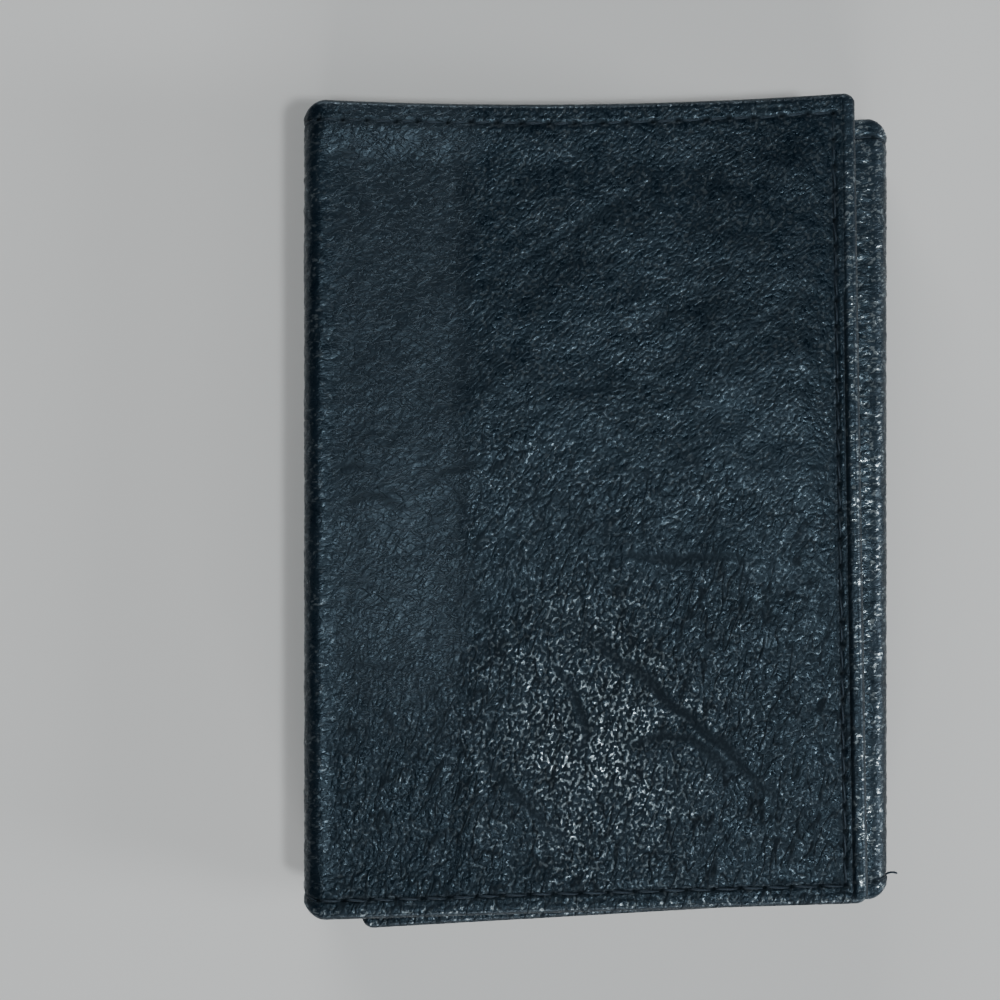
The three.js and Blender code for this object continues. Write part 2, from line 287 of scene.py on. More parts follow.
def seam_y(along, at_top):
    x = SHELL.spot(along)[0]
    high, low = SHELL.edges(np.array(along))
    margin = seam_margin(SHELL.pinch(np.array(along), x))
    return float(high - margin) if at_top else float(low + margin)


def uneven_stops(first, last, rng):
    """Places about a pitch apart, with the first and last kept exact."""
    count = round(abs(last - first) / PITCH)
    stops = first + (last - first) * np.arange(count + 1) / count
    stops[1:-1] += 0.16 * rng.standard_normal(count - 1)
    return stops


def long_holes(at_top, rng):
    """Needle holes of the top or bottom seam, from one free edge to the other."""
    stops = uneven_stops(FREE_SEAM_INSET, SHELL.at["inner_free"] - FREE_SEAM_INSET, rng)
    return [(s, seam_y(s, at_top) + 0.05 * rng.standard_normal()) for s in stops]


def free_holes(along, rng):
    """Needle holes down a free edge, between the long seams."""
    stops = uneven_stops(seam_y(along, True), seam_y(along, False), rng)
    return [(along + 0.04 * rng.standard_normal(), y) for y in stops]


_rng = np.random.default_rng(4)
TOP_HOLES, BOTTOM_HOLES = long_holes(True, _rng), long_holes(False, _rng)
COVER_HOLES = free_holes(FREE_SEAM_INSET, _rng)
INNER_HOLES = free_holes(SHELL.at["inner_free"] - FREE_SEAM_INSET, _rng)


def hole_marks(along, y):
    """1 in the needle holes, falling to 0 round them."""
    marks = np.zeros(along.shape)
    for hole_along, hole_y in TOP_HOLES + BOTTOM_HOLES + COVER_HOLES + INNER_HOLES:
        rows = np.abs(along[:, 0] - hole_along) < 1.2
        if rows.any():
            gap = np.hypot(along[rows] - hole_along, y[rows] - hole_y)
            marks[rows] = np.maximum(marks[rows], bell(gap, 0.33))
    return marks


# --- relief of the shell ----------------------------------------------------------------

# Creases of the cover: points in X and Y, depth and half width
CREASES = [
    ([(-7.9, -10.8), (-0.2, -17.1), (6.5, -22.1),
      (13.9, -28.8), (19.9, -34.0), (25.5, -40.4)], 0.3, 0.62),
    ([(2.6, -31.2), (4.7, -30.1), (8.3, -28.9),
      (11.8, -29.5), (15.3, -32.3), (17.5, -34.7)], 0.26, 0.5),
    ([(-7.9, -16.8), (-3.7, -22.8), (-2.1, -29.1), (-3.0, -33.3)], 0.24, 0.5),
    ([(-16.1, -29.8), (-14.3, -33.7), (-8.3, -39.3), (-4.4, -43.6)], 0.2, 0.55),
    ([(-14.3, -23.8), (-14.8, -28.7), (-15.7, -30.5)], 0.16, 0.45),
    ([(-0.2, -5.5), (5.1, -5.1), (10.4, -5.5), (15.7, -5.1), (21.0, -5.7)], 0.2, 0.45),
    ([(-21.3, 28.2), (-9.7, 34.2), (-4.4, 38.1), (4.7, 42.7)], 0.063, 0.6),
    ([(6.9, 39.9), (7.6, 36.3), (12.5, 32.1)], 0.059, 0.4),
    ([(25.6, 28.6), (22.1, 26.5), (16.4, 21.8)], 0.059, 0.45),
    ([(-36.8, 0.4), (-31.2, 2.4), (-29.3, 2.4), (-24.9, 0.9)], 0.17, 0.4),
    ([(-36.6, 6.3), (-33.3, 7.2), (-29.8, 6.3)], 0.14, 0.35),
    ([(-23.9, 4.2), (-18.6, 6.3), (-12.9, 8.0)], 0.12, 0.45),
    ([(-33.1, 9.4), (-29.3, 12.2)], 0.12, 0.35),
    ([(-38.0, 45.0), (-36.0, 47.0), (-33.6, 47.9), (-31.6, 47.2), (-28.5, 47.4)], 0.09, 0.4),
    ([(-37.1, 36.8), (-32.5, 39.0)], 0.063, 0.4),
    ([(-37.0, -21.0), (-31.0, -19.4), (-26.0, -20.2)], 0.12, 0.45),
    ([(-37.0, -38.0), (-32.0, -36.0), (-27.0, -33.0)], 0.11, 0.45),
    ([(14.0, -8.0), (20.0, -12.0), (27.0, -14.5)], 0.11, 0.45),
    ([(-22.0, -8.0), (-17.0, -12.0), (-13.0, -18.0)], 0.11, 0.55),
    ([(-12.5, 18.0), (-4.0, 17.0), (5.0, 17.8), (14.0, 16.6)], 0.054, 0.45),
    ([(2.0, -36.0), (3.5, -41.0), (3.0, -45.0)], 0.14, 0.4),
    ([(9.0, -31.0), (10.5, -37.0), (9.5, -42.0)], 0.13, 0.35),
]


def crease_relief(x, y):
    """Height of the creases, and how much of each point lies in one."""
    wander_x = x + 0.7 * noise(x / 4.5, y / 4.5, 31)
    wander_y = y + 0.7 * noise(x / 4.5, y / 4.5, 32)
    height, inside = np.zeros(x.shape), np.zeros(x.shape)
    for points, depth, width in CREASES:
        gap, share = np.full(x.shape, 99.0), np.zeros(x.shape)
        spans = len(points) - 1
        for k in range(spans):
            a, b = np.array(points[k]), np.array(points[k + 1])
            d = b - a
            t = np.clip(((wander_x - a[0]) * d[0] + (wander_y - a[1]) * d[1]) / (d @ d), 0, 1)
            here = np.hypot(wander_x - a[0] - t * d[0], wander_y - a[1] - t * d[1])
            nearer = here < gap
            gap, share = np.where(nearer, here, gap), np.where(nearer, (k + t) / spans, share)
        taper = np.clip(np.sin(share * math.pi), 0, 1) ** 0.6
        valley = bell(gap, width) * taper
        shoulder = bell(gap - 1.9 * width, 0.9 * width) * taper
        height += 0.56 * depth * (0.35 * shoulder - valley)
        inside = np.maximum(inside, bell(gap, 1.3 * width, 4) * taper * min(1, depth / 0.25))
    return height, inside


LEANS = (42, 56, 72)


def lean_of(u, y):
    """0 where the grain runs flat, up to the right; 1 where it runs steep."""
    lean = 0.58 - y / 62 + 0.35 * noise(u / 24, y / 24, 41)
    return smooth(lean)


def lean_shares(lean):
    """How much of each of the three grain directions a place has."""
    low, high = smooth(1 - 2 * lean), smooth(2 * lean - 1)
    return low, 1 - low - high, high


def wrinkles(u, y, degrees, seed):
    """Valleys from 0 to 1 that run in one direction: long ones, and short ones between."""
    a, b = turned(u, y, degrees)
    long = np.abs(noise(a / 4.2, b / 1.6, seed))
    short = np.abs(noise(a / 1.6, b / 0.95, seed + 10))
    return np.maximum(smooth(1 - long / 0.20), 0.7 * smooth(1 - short / 0.30))


def grain(u, y, shares):
    """Wrinkled grain, stretched along its own direction, as valleys from 0 to 1."""
    warp_u = u + 0.6 * noise(u / 2.3, y / 2.3, 51)
    warp_y = y + 0.6 * noise(u / 2.3, y / 2.3, 52)
    return sum(share * wrinkles(warp_u, warp_y, degrees, 61 + k)
               for k, (share, degrees) in enumerate(zip(shares, LEANS)))


def fibre_ridges(u, y, degrees, width, seed):
    """Ridges from 0 to 1 along fibres that lie in one direction."""
    a, b = turned(u, y, degrees)
    return smooth(1 - np.abs(noise(a / 4, b / width, seed)) / 0.14)


def fold_share(strip):
    """1 on the bends and spines, falling to 0 a little way into the panels."""
    u, at = strip.along, strip.path.at
    left = smooth((u - at["cover_fold"] + 3.5) / 4.5) * smooth((at["centre_start"] + 4 - u) / 5)
    right = smooth((u - at["centre_end"] + 4) / 5) * smooth((at["inner_fold"] + 6 - u) / 5)
    return np.maximum(left, right)


def relief(strip):
    """Heights over the shell's plain outer face, and marks of wear, grain, and grime with
    painted shade.
    """
    u, y, x, at = -strip.along, strip.y, strip.x, strip.path.at
    lean = lean_of(u, y)
    fold = fold_share(strip)
    on_cover = smooth((at["cover_fold"] + 2 - strip.along) / 3)
    below = (strip.along > at["cover_spine_middle"]) & (strip.along < at["inner_spine_middle"])
    inland = smooth((strip.edge - 2.5) / 6)
    matte = smooth((-15.5 - x + 2.5 * noise(u / 9, y / 9, 20)) / 5) * on_cover * (1 - fold)
    matte = matte * smooth((y + 36) / 22)
    # Polished patch low in the middle of the cover, where a highlight is also painted: there the
    # grain's tips get a paler painted glint colour
    polish_and_painted_highlight = np.exp(-((x + 1) / 16) ** 2 - ((y + 29) / 20) ** 2) * on_cover
    polish_and_painted_highlight = np.clip(polish_and_painted_highlight * (1 + 0.5 * noise(u / 7, y / 7, 25)), 0, 1)
    # Slack of the leather over what lies under it
    slack = 0.28 * noise(u / 27, y / 27, 11) + 0.14 * fractal(u / 8, y / 8, 12, 2)
    swell = -0.22 * smooth((-16.5 - x) / 3.5) * on_cover
    height = (slack * (0.35 + 0.65 * on_cover) + swell) * inland * (1 - 0.7 * fold)
    height += 0.70 * (smooth((x - 8) / 24) - 0.5) * on_cover * inland
    crease, inside = crease_relief(x, y)
    height += crease * on_cover
    inside = inside * on_cover
    # Grain, softer in the creases, near the seams and on the matte side by the fold
    valley = grain(u, y, lean_shares(lean))
    strength = (1 - 0.6 * inside) * (1 - 0.4 * matte) * (1 - 0.5 * fold)
    strength = strength * smooth(strip.edge / 1.5) * (0.38 + 0.62 * lean + 0.4 * polish_and_painted_highlight)
    strength = strength * (1 - 0.5 * smooth((y - 45) / 3) * on_cover)
    height -= 0.10 * valley * strength
    height += 0.040 * fractal(u / 1.3, y / 1.3, 13, 2) * strength
    # Crossed fibres on the matte side
    ridges = np.maximum(fibre_ridges(u, y, 28, 1.0, 21), fibre_ridges(u, y, -12, 1.1, 22))
    height += 0.060 * ridges * matte
    # Wrinkles across the folds and the rims
    slant_u, slant_y = turned(u + 0.5 * noise(u / 2, y / 3, 17), y, 14)
    across = np.abs(noise(slant_u / 2.4, slant_y / 1.25, 16))
    wrinkled = 0.05 * noise(u / 1.8, y / 1.0, 14) + 0.05 * noise(u / 0.85, y / 0.75, 26)
    wrinkled -= 0.06 * smooth(1 - across / 0.25)
    height += fold * wrinkled * smooth(strip.edge / 1.2)
    rim = bell(strip.edge - 0.95, 0.55)
    free_rim = bell(strip.free - 0.95, 0.75, 4) * on_cover
    height += 0.05 * free_rim
    run = np.where(strip.side < strip.free, u, y)
    crinkle = noise(run / 1.0, strip.edge / 2.5, 23) + 0.6 * noise(run / 0.75, strip.edge, 24)
    crinkle = crinkle * smooth(strip.edge / 0.6) * smooth((2.6 - strip.edge) / 0.8)
    height += (0.025 + 0.035 * free_rim) * crinkle
    # Turned edge: a rounded rim, the crease behind it, and the sunk seam
    tuck = bell(strip.free - 1.95, 0.16) * smooth(strip.side / 2)
    tuck = tuck * (1 - 0.65 * smooth((y - 15) / 25))
    tuck_side = bell(strip.side - 1.8, 0.22) * (1 - 0.7 * fold)
    swing = 0.75 + 0.25 * noise(u / 5, y / 5, 18)
    groove = bell(strip.seam, 0.27) * (1 - 0.45 * smooth((y - 44) / 2) * on_cover)
    holes = hole_marks(strip.along, y)
    height += 0.12 * rim * swing * (1 - 0.6 * smooth(y / 40))
    height -= 0.24 * tuck + 0.03 * tuck_side * (1 - smooth(y / 40))
    height -= 0.26 * groove * swing + 0.30 * holes
    height = np.where(below, np.minimum(height, 0.02), height)
    # Wear: rubbed glossy on rims and folds; grime and painted shade: dark in seams, needle
    # holes, creases and grain valleys
    rubbed = patches(u, y, 5, 19)
    crest = bell(strip.z - (INNER_TOP - 0.4), 0.7)
    crest = crest * smooth((strip.along - at["inner_spine_middle"]) / 1)
    crest = crest * smooth((at["inner_fold"] + 7 - strip.along) / 3)
    lower = smooth((-20 - y) / 25)
    wear = np.clip(rim * (0.12 + 0.25 * rubbed + 0.35 * lower) + free_rim * (0.4 + 0.6 * rubbed)
                   + crest * (0.45 + 0.55 * rubbed) + 0.35 * fold * rubbed, 0, 1)
    grime_and_painted_shade = np.clip(np.maximum.reduce([0.7 * groove, 0.8 * tuck, 0.75 * inside, 1.4 * holes,
                                      0.4 * bell(strip.edge, 0.25),
                                      0.45 * valley * strength]), 0, 1)
    return height, {"wear": wear, "grime_and_painted_shade": grime_and_painted_shade, "lean": lean, "matte": matte,
                    "fold": np.maximum(fold, free_rim),
                    "smoothed": inside, "polish_and_painted_highlight": polish_and_painted_highlight}


# --- meshes -----------------------------------------------------------------------------


def graded(length, step, start_edge, end_edge):
    """Distances from 0 to length, closer together beside the ends that are edges."""
    near = np.array([0, 0.03, 0.1, 0.22, 0.38, 0.58, 0.8, 1.05, 1.3, 1.5, 1.68, 1.82, 1.96,
                     2.1, 2.28, 2.5, 2.75, 2.95, 3.15, 3.4, 3.7])
    if step > 0.4:
        near = near[:8]
    first = near if start_edge else near[:1]
    last = length - near[::-1] if end_edge else np.array([length])
    gap = last[0] - first[-1]
    count = max(1, round(gap / step))
    middle = first[-1] + gap * np.arange(1, count) / count
    return np.concatenate([first, middle, last])


def coarse(count, stride, dense_start, dense_end):
    """Every stride-th of count indices, and all of those beside the edges."""
    first = list(range(8)) if dense_start else [0]
    last = list(range(count - 8, count)) if dense_end else [count - 1]
    return sorted(set(first + list(range(first[-1], last[0], stride)) + last))


def closed_sheet(name, fine, rough, rolled, marks, stride=3, flip=False):
    """A closed mesh from two grids of points, of which the second is thinned out. rolled
    says which of the four sides, at the first and last row and column, come together in a
    round edge; the others are cut flat."""
    rows, cols = fine.shape[:2]
    top = np.arange(rows * cols).reshape(rows, cols)
    keep_rows = coarse(rows, stride, rolled[0], rolled[1])
    keep_cols = coarse(cols, stride, rolled[2], rolled[3])
    used = np.zeros((rows, cols), bool)
    used[np.ix_(keep_rows, keep_cols)] = True
    used[[0, -1], :] = True
    used[:, [0, -1]] = True
    sides = ((0, slice(None)), (-1, slice(None)), (slice(None), 0), (slice(None), -1))
    for side, joined in zip(sides, rolled):
        if joined:
            used[side] = False
    under = top.copy()
    under[used] = rows * cols + np.arange(int(used.sum()))
    points = np.concatenate([fine.reshape(-1, 3), rough[used]])
    faces = np.stack([top[:-1, :-1], top[:-1, 1:], top[1:, 1:], top[1:, :-1]], -1)
    faces = faces.reshape(-1, 4).tolist()
    for r0, r1 in zip(keep_rows, keep_rows[1:]):
        for c0, c1 in zip(keep_cols, keep_cols[1:]):
            faces.append(loop_under(under, r0, r1, c0, c1))
    border = (top[0, ::-1], top[-1], top[:, 0], top[::-1, -1])
    border_under = (under[0, ::-1], under[-1], under[:, 0], under[::-1, -1])
    for a, b, joined in zip(border, border_under, rolled):
        if not joined:
            quads = [[a[k], b[k], b[k + 1], a[k + 1]] for k in range(len(a) - 1)]
            faces += [list(dict.fromkeys(q)) for q in quads]
    faces = [(f if flip else f[::-1]) for f in faces if len(set(f)) > 2]
    piece = mesh_piece(name, points, faces)
    for key, grid in marks.items():
        add_attribute(piece.data, key, grid, used)
    return piece


def loop_under(under, r0, r1, c0, c1):
    """One face of the thinned grid, with every border point that it meets."""
    rows, cols = under.shape

    def steps(a, b, dense):
        return list(range(a, b)) if dense else [a]

    loop = [under[r, c0] for r in steps(r0, r1, c0 == 0)]
    loop += [under[r1, c] for c in steps(c0, c1, r1 == rows - 1)]
    loop += [under[r1 - (r - r0), c1] for r in steps(r0, r1, c1 == cols - 1)]
    loop += [under[r0, c1 - (c - c0)] for c in steps(c0, c1, r0 == 0)]
    return loop


def add_attribute(mesh, key, grid, used):
    width = 3 if grid.ndim == 3 else 1
    values = np.concatenate([grid.reshape(-1, width), grid[used].reshape(-1, width)])
    attribute = mesh.attributes.new(key, "FLOAT_VECTOR" if width == 3 else "FLOAT", "POINT")
    attribute.data.foreach_set("vector" if width == 3 else "value",
                               values.astype(np.float32).ravel())


def mesh_piece(name, points, faces):
    mesh = bpy.data.meshes.new(name)
    mesh.from_pydata((np.array(points) * MM).tolist(), [], faces)
    mesh.polygons.foreach_set("use_smooth", np.ones(len(faces), bool))
    mesh.update()
    mesh.set_sharp_from_angle(angle=math.radians(60))
    piece = bpy.data.objects.new(name, mesh)
    bpy.context.scene.collection.objects.link(piece)
    return piece


def flat_place(strip):
    return np.stack([strip.along, strip.y, np.zeros(strip.y.shape)], -1)


def shell_piece(name, start, end, rolled_start=False, rolled_end=False):
    """The stretch of the shell between two places along it."""
    at = SHELL.at
    along = at[start] + graded(at[end] - at[start], GRID, rolled_start, rolled_end)
    share = graded(PANEL_HEIGHT, GRID, True, True) / PANEL_HEIGHT
    strip = Strip(SHELL, along, share, (rolled_start, rolled_end))
    height, marks = relief(strip)
    half = LEATHER / 2 + (RIM - LEATHER) / 2 * bell(strip.edge, 1.2, 4)
    roll = rolled_profile(strip.edge, 0.95)
    outer = strip.lifted(height * roll - half * (1 - roll))
    inner = strip.lifted(-half - half * roll)
    outer[..., 2] = np.maximum(outer[..., 2], 0.0)
    marks["flat"] = flat_place(strip)
    return closed_sheet(name, outer, inner, (rolled_start, rolled_end, True, True), marks)


def rolled_profile(edge, width):
    """A round edge's height, from 0 on the edge to 1 at a width inside it."""
    return np.sqrt(np.clip(1 - (1 - np.clip(edge / width, 0, 1)) ** 2, 0, 1))


# --- layers inside ----------------------------------------------------------------------

# Depths are those of a layer's outer face, below the shell's
LINING_DEPTH, LINING_THICK, LINING_BEND, LINING_INSET = 1.5, 0.3, 1.7, 1.5
WALL_DEPTH, WALL_THICK, WALL_BEND, WALL_INSET = 2.5, 0.5, 1.6, 0.8
WALL_TOP = 4.5           # the wall's top edge, below the shell's
POCKET_THICK = 0.5
POCKET_DEPTHS = (3.3, 4.1, 4.9)
POCKET_TOPS = (12, 21, 30)
POCKET_INSET, POCKET_FOLD_INSET = 0.8, 4.5
POCKET_CORNER = 1.2
SLIP_THICK, SLIP_INSET, SLIP_TOP = 0.6, 5.5, 9.0
FILM_DEPTH, FILM_THICK, FILM_INSET = 4.2, 0.25, 6.5

# The window frame's insets from the fold bends and from the shell's top and bottom edges,
# and its borders
FRAME_INSET, FRAME_TOP, FRAME_BOTTOM = 5.5, 6.0, 2.0
BORDER_X, BORDER_Y = 6.5, 8.0
FRAME_CORNER, WINDOW_CORNER = 1.6, 3.0
FRAME_SEAM_INSET = 2.0


def give(strip):
    """How far the layers of the cover sag inwards together."""
    u, y, at = strip.along, strip.y, strip.path.at
    on_cover = smooth((at["cover_fold"] - 4 - u) / 8) * smooth((u - 3) / 6)
    upright = smooth((y - FREE_BOTTOMS["cover"] - 3) / 10)
    return 0.40 * on_cover * upright * (0.6 + 0.5 * noise(u / 19, y / 19, 71))


def layer_relief(strip, kind):
    """Heights of a layer's visible face, and marks of wear, and of grime with painted shade in
    seams, holes and pressed lines.
    """
    u, y, at = strip.along, strip.y, strip.path.at
    fold = fold_share(strip)
    height = 0.05 * fractal(u / 6, y / 6, 72, 2) * smooth(strip.edge / 3)
    # Creases along the folds, where the layer is bent double when the wallet is shut
    bent = np.abs(noise(u / 0.9, y / 14, 73))
    height -= (0.06 if kind == "lining" else 0.14) * smooth(1 - bent / 0.2) * fold
    groove = bell(strip.seam, 0.4)
    holes = hole_marks(np.interp(u, list(at.values()), list(SHELL.at.values())), y)
    height -= 0.10 * groove + 0.08 * holes
    mouth = strip.top - y
    line = bell(mouth - 1.8, 0.36) * (kind == "pocket")
    height -= 0.14 * line
    if kind == "pocket":
        # The print of the cards: a faint raised oblong with rounded corners
        card = smooth((strip.free - 4.2) / 1.4) * smooth((mouth - 2.4) / 1.5)
        height += 0.13 * card * smooth((y - strip.bottom - 3.6) / 1.4)
    rubbed = patches(u, y, 5, 74)
    rim = bell(strip.edge, 0.9)
    wear = np.clip(rim * (0.4 + 0.6 * rubbed) + 0.35 * fold * rubbed, 0, 1)
    grime_and_painted_shade = np.clip(np.maximum.reduce([0.8 * groove, holes, 0.7 * line]), 0, 1)
    return height, {"wear": wear, "grime_and_painted_shade": grime_and_painted_shade}


def layer_piece(name, kind, depth, thick, reach, rolled, top, bottom, corner=1.0, step=0.5):
    """A layer inside the shell; its visible face is the one away from the shell."""
    path = Path(depth, LINING_BEND if depth < WALL_DEPTH else WALL_BEND)
    start, end = (path.at[r] if isinstance(r, str) else r(path) for r in reach)
    along = start + graded(end - start, step, *rolled)
    high = PANEL_HEIGHT - top - bottom
    share = graded(high, step, True, True) / high
    strip = Strip(path, along, share, rolled, top, bottom, corner)
    height, marks = layer_relief(strip, kind)
    mouth = strip.top - strip.y
    turn = 0.10 * bell(mouth, 2.2, 4) if kind == "pocket" else 0
    half = thick / 2
    roll = rolled_profile(strip.edge, half + 0.1)
    sag = give(strip)
    if kind == "pocket":
        sag = sag + 0.16 * np.exp(-mouth / 7) * smooth(strip.free / 18) * (depth < 4.5)
    fine = strip.lifted(-half - (half + height + turn) * roll - sag)
    rough = strip.lifted(-half + half * roll - sag)
    marks["flat"] = flat_place(strip)
    return closed_sheet(name, fine, rough, (*rolled, True, True), marks, flip=True)


# --- stitching --------------------------------------------------------------------------

THREAD = 0.36
FRAME_THREAD = 0.34
TAIL = 0.3               # the loose end, where the plies have slackened
UNDER_FRAME_X = 33.5     # the window frame covers the inner stitches up to here
PLIES = 3
TWIST = 2.4              # radians for each radius of length


def stitch_tube(path, radius, around):
    """A twisted thread along a path of points: its points and faces, closed at the ends."""
    path = np.array(path)
    tangents = np.gradient(path, axis=0)
    tangents /= np.linalg.norm(tangents, axis=1)[:, None]
    flat = abs(tangents[len(path) // 2][2]) < 0.8
    up = np.array([0.0, 0.0, 1.0]) if flat else np.array([1.0, 0.0, 0.0])
    reach = np.concatenate([[0], np.cumsum(np.linalg.norm(np.diff(path, axis=0), axis=1))])
    points, faces = [], []
    for k, (centre, tangent) in enumerate(zip(path, tangents)):
        side = np.cross(tangent, up)
        side /= np.linalg.norm(side)
        rise = np.cross(side, tangent)
        end = min(k, len(path) - 1 - k)
        size = radius * (0.55 if end == 0 else 0.9 if end == 1 else 1.0)
        for j in range(around):
            angle = 2 * math.pi * j / around
            lobe = 1 + 0.15 * math.cos(PLIES * angle - TWIST * reach[k] / radius)
            points.append(centre + size * lobe * (side * math.cos(angle)
                                                  + rise * math.sin(angle)))
    for k in range(len(path) - 1):
        for j in range(around):
            a, b = k * around + j, k * around + (j + 1) % around
            faces.append([a, b, b + around, a + around])
    faces.append(list(range(around))[::-1])
    last = (len(path) - 1) * around
    faces.append([last + j for j in range(around)])
    return points, faces


def add_tube(points, faces, path, radius=THREAD / 2, around=9):
    more, loops = stitch_tube(path, radius, around)
    base = len(points)
    points += more
    faces += [[base + i for i in loop] for loop in loops]


def stitch_path(a, b, lean, place):
    """A stitch between two needle holes, over the surface and down into them. Its ends
    lie off the seam's line to either side, as a slanted stitch's do."""
    a, b = np.array(a), np.array(b)
    d = b - a
    side = np.array([-d[1], d[0]]) / np.linalg.norm(d)
    steps = 10
    path = []
    for k in range(steps + 1):
        t = k / steps
        at = a + d * (0.05 + 0.90 * t) + side * lean * (1 - 2 * t)
        path.append(place(at[0], at[1], -0.40 + 0.42 * math.sin(math.pi * t) ** 0.5))
    return path


def outer_place(along, y, rise):
    low = SHELL.at["cover_spine_bottom"] < along < SHELL.at["inner_spine_bottom"]
    return SHELL.place(along, y, rise - 0.17 - (0.08 if low else 0.0))


LINING_FACE = Path(LINING_DEPTH + LINING_THICK, 1.4)
WALL_FACE = Path(WALL_DEPTH + WALL_THICK, 1.1)


def inner_depth(along, y):
    """The depth of the innermost face that the seam goes through."""
    at = SHELL.at
    high, low = (float(v) for v in SHELL.edges(np.array(along)))
    below = high - y
    if below < WALL_TOP:
        return LINING_DEPTH + LINING_THICK
    flap = along < at["cover_fold"] - 2.5 or along > at["inner_fold"] + 2.5
    if not flap:
        return WALL_DEPTH + WALL_THICK
    tops = [d + POCKET_THICK for d, t in zip(POCKET_DEPTHS, POCKET_TOPS) if below > t + 0.5]
    return tops[-1] if tops else WALL_DEPTH + WALL_THICK


def inner_place(along, y, rise):
    depth = inner_depth(along, y)
    path = LINING_FACE if depth < 2 else Path(depth, 1.1)
    return path.place(path.matching(SHELL, along), y, -rise + 0.04)


def seam_stitches(start, end, rng, place, skip=None):
    """Stitches of both long seams between two places along the shell."""
    points, faces = [], []
    for holes, turn in ((TOP_HOLES, 1), (BOTTOM_HOLES, -1)):
        for a, b in zip(holes, holes[1:]):
            middle = (a[0] + b[0]) / 2
            if SHELL.at[start] <= middle < SHELL.at[end] and not (skip and skip(a)):
                lean = turn * (0.13 + 0.04 * rng.standard_normal())
                add_tube(points, faces, stitch_path(a, b, lean, place))
    return points, faces


def free_stitches(holes, points, faces, rng, place):
    for a, b in zip(holes, holes[1:]):
        lean = 0.14 + 0.04 * rng.standard_normal()
        add_tube(points, faces, stitch_path(a, b, lean, place))


# --- materials --------------------------------------------------------------------------


class Graph:
    """A material's node tree, built a node at a time."""

    def __init__(self, name):
        self.material = bpy.data.materials.new(name)
        self.material.use_nodes = True
        self.tree = self.material.node_tree
        self.tree.nodes.clear()
        self.output = self.tree.nodes.new("ShaderNodeOutputMaterial")

    def add(self, kind, inputs=None, **settings):
        node = self.tree.nodes.new("ShaderNode" + kind)
        for key, value in settings.items():
            setattr(node, key, value)
        for key, value in (inputs or {}).items():
            socket = node.inputs[key]
            if isinstance(value, bpy.types.NodeSocket):
                self.tree.links.new(value, socket)
            else:
                socket.default_value = value
        return node

    def attribute(self, name, output="Fac"):
        return self.add("Attribute", attribute_name=name).outputs[output]

    def math(self, operation, *values):
        node = self.add("Math", dict(enumerate(values)), operation=operation)
        return node.outputs[0]

    def times(self, a, b):
        return self.math("MULTIPLY", a, b)

    def blend(self, share, a, b):
        """A number between two others."""
        return self.add("Mix", {0: share, 2: a, 3: b}, data_type="FLOAT").outputs[0]

    def tint(self, share, a, b):
        """A colour between two others."""
        return self.add("Mix", {0: share, 6: a, 7: b}, data_type="RGBA").outputs[2]

    def over(self, mixed, base, *layers):
        """A base with other values laid over it in turn, each by its share."""
        for share, value in layers:
            base = mixed(share, base, value)
        return base

    def ramp(self, value, low, high, to_low=0.0, to_high=1.0):
        node = self.add("MapRange", {"Value": value, "From Min": low, "From Max": high,
                                     "To Min": to_low, "To Max": to_high},
                        interpolation_type="SMOOTHSTEP")
        return node.outputs[0]

    def surface(self, shader):
        self.tree.links.new(shader.outputs[0], self.output.inputs[0])
        return self.material


def turned_place(graph, place, degrees, stretch):
    """Texture coordinates stretched along one direction."""
    node = graph.add("Mapping", {"Vector": place, "Rotation": (0, 0, math.radians(degrees)),
                                 "Scale": (stretch, 1.0, 1.0)}, vector_type="TEXTURE")
    return node.outputs[0]


def noise_of(graph, place, scale, detail=2.0, roughness=0.5, distortion=0.0):
    node = graph.add("TexNoise", {"Vector": place, "Scale": scale, "Detail": detail,
                                  "Roughness": roughness, "Distortion": distortion},
                     noise_dimensions="2D")
    return node.outputs[0]


def lines_of(graph, value, width):
    """1 where a noise crosses its middle, falling to 0 beside those lines."""
    off = graph.math("ABSOLUTE", graph.math("SUBTRACT", value, 0.5))
    return graph.ramp(off, 0.0, width, 1.0, 0.0)


def fine_grain(graph, place, degrees):
    """Fine wrinkled grain in one direction, as a height from 0 to about 1."""
    there = turned_place(graph, place, degrees, 1.2)
    valleys = lines_of(graph, noise_of(graph, there, 1.2, 2.0, 0.6, 0.2), 0.10)
    specks = noise_of(graph, there, 2.1, 0.6, 0.5, 0.1)
    return graph.math("SUBTRACT", specks, graph.times(valleys, 0.16))


def long_valleys(graph, place, degrees):
    """Thin lines from 0 to 1 that run in one direction, a few millimetres apart."""
    there = turned_place(graph, place, degrees, 3.2)
    whole = lines_of(graph, noise_of(graph, there, 0.50, 1.5, 0.5, 0.15), 0.045)
    return graph.times(whole, graph.ramp(noise_of(graph, place, 0.33, 1.0),
                                                    0.36, 0.52))


def in_directions(graph, place, lean, pattern):
    """A pattern in the grain's three directions, blended by how steep the grain runs."""
    low, middle, high = (pattern(graph, place, degrees) for degrees in LEANS)
    low = graph.blend(graph.ramp(lean, 0.0, 0.5), low, middle)
    return graph.blend(graph.ramp(lean, 0.5, 1.0), low, high)


def fold_crinkle(graph, place):
    """Fine wrinkles across the folds, as a height."""
    there = turned_place(graph, place, 12, 1.9)
    lines = lines_of(graph, noise_of(graph, there, 1.1, 1.0, 0.5, 0.4), 0.07)
    return graph.math("SUBTRACT", noise_of(graph, there, 2.0, 2.0, 0.6, 0.3),
                      graph.times(lines, 0.3))


def crossed_fibres(graph, place):
    """Thin lines from 0 to 1 in two directions."""
    sets = (lines_of(graph, noise_of(graph, turned_place(graph, place, degrees, 3.2),
                                     scale, 1.0, 0.5, 0.3), width)
            for degrees, scale, width in ((30, 1.0, 0.035), (-14, 1.1, 0.03)))
    return graph.math("MAXIMUM", *sets)


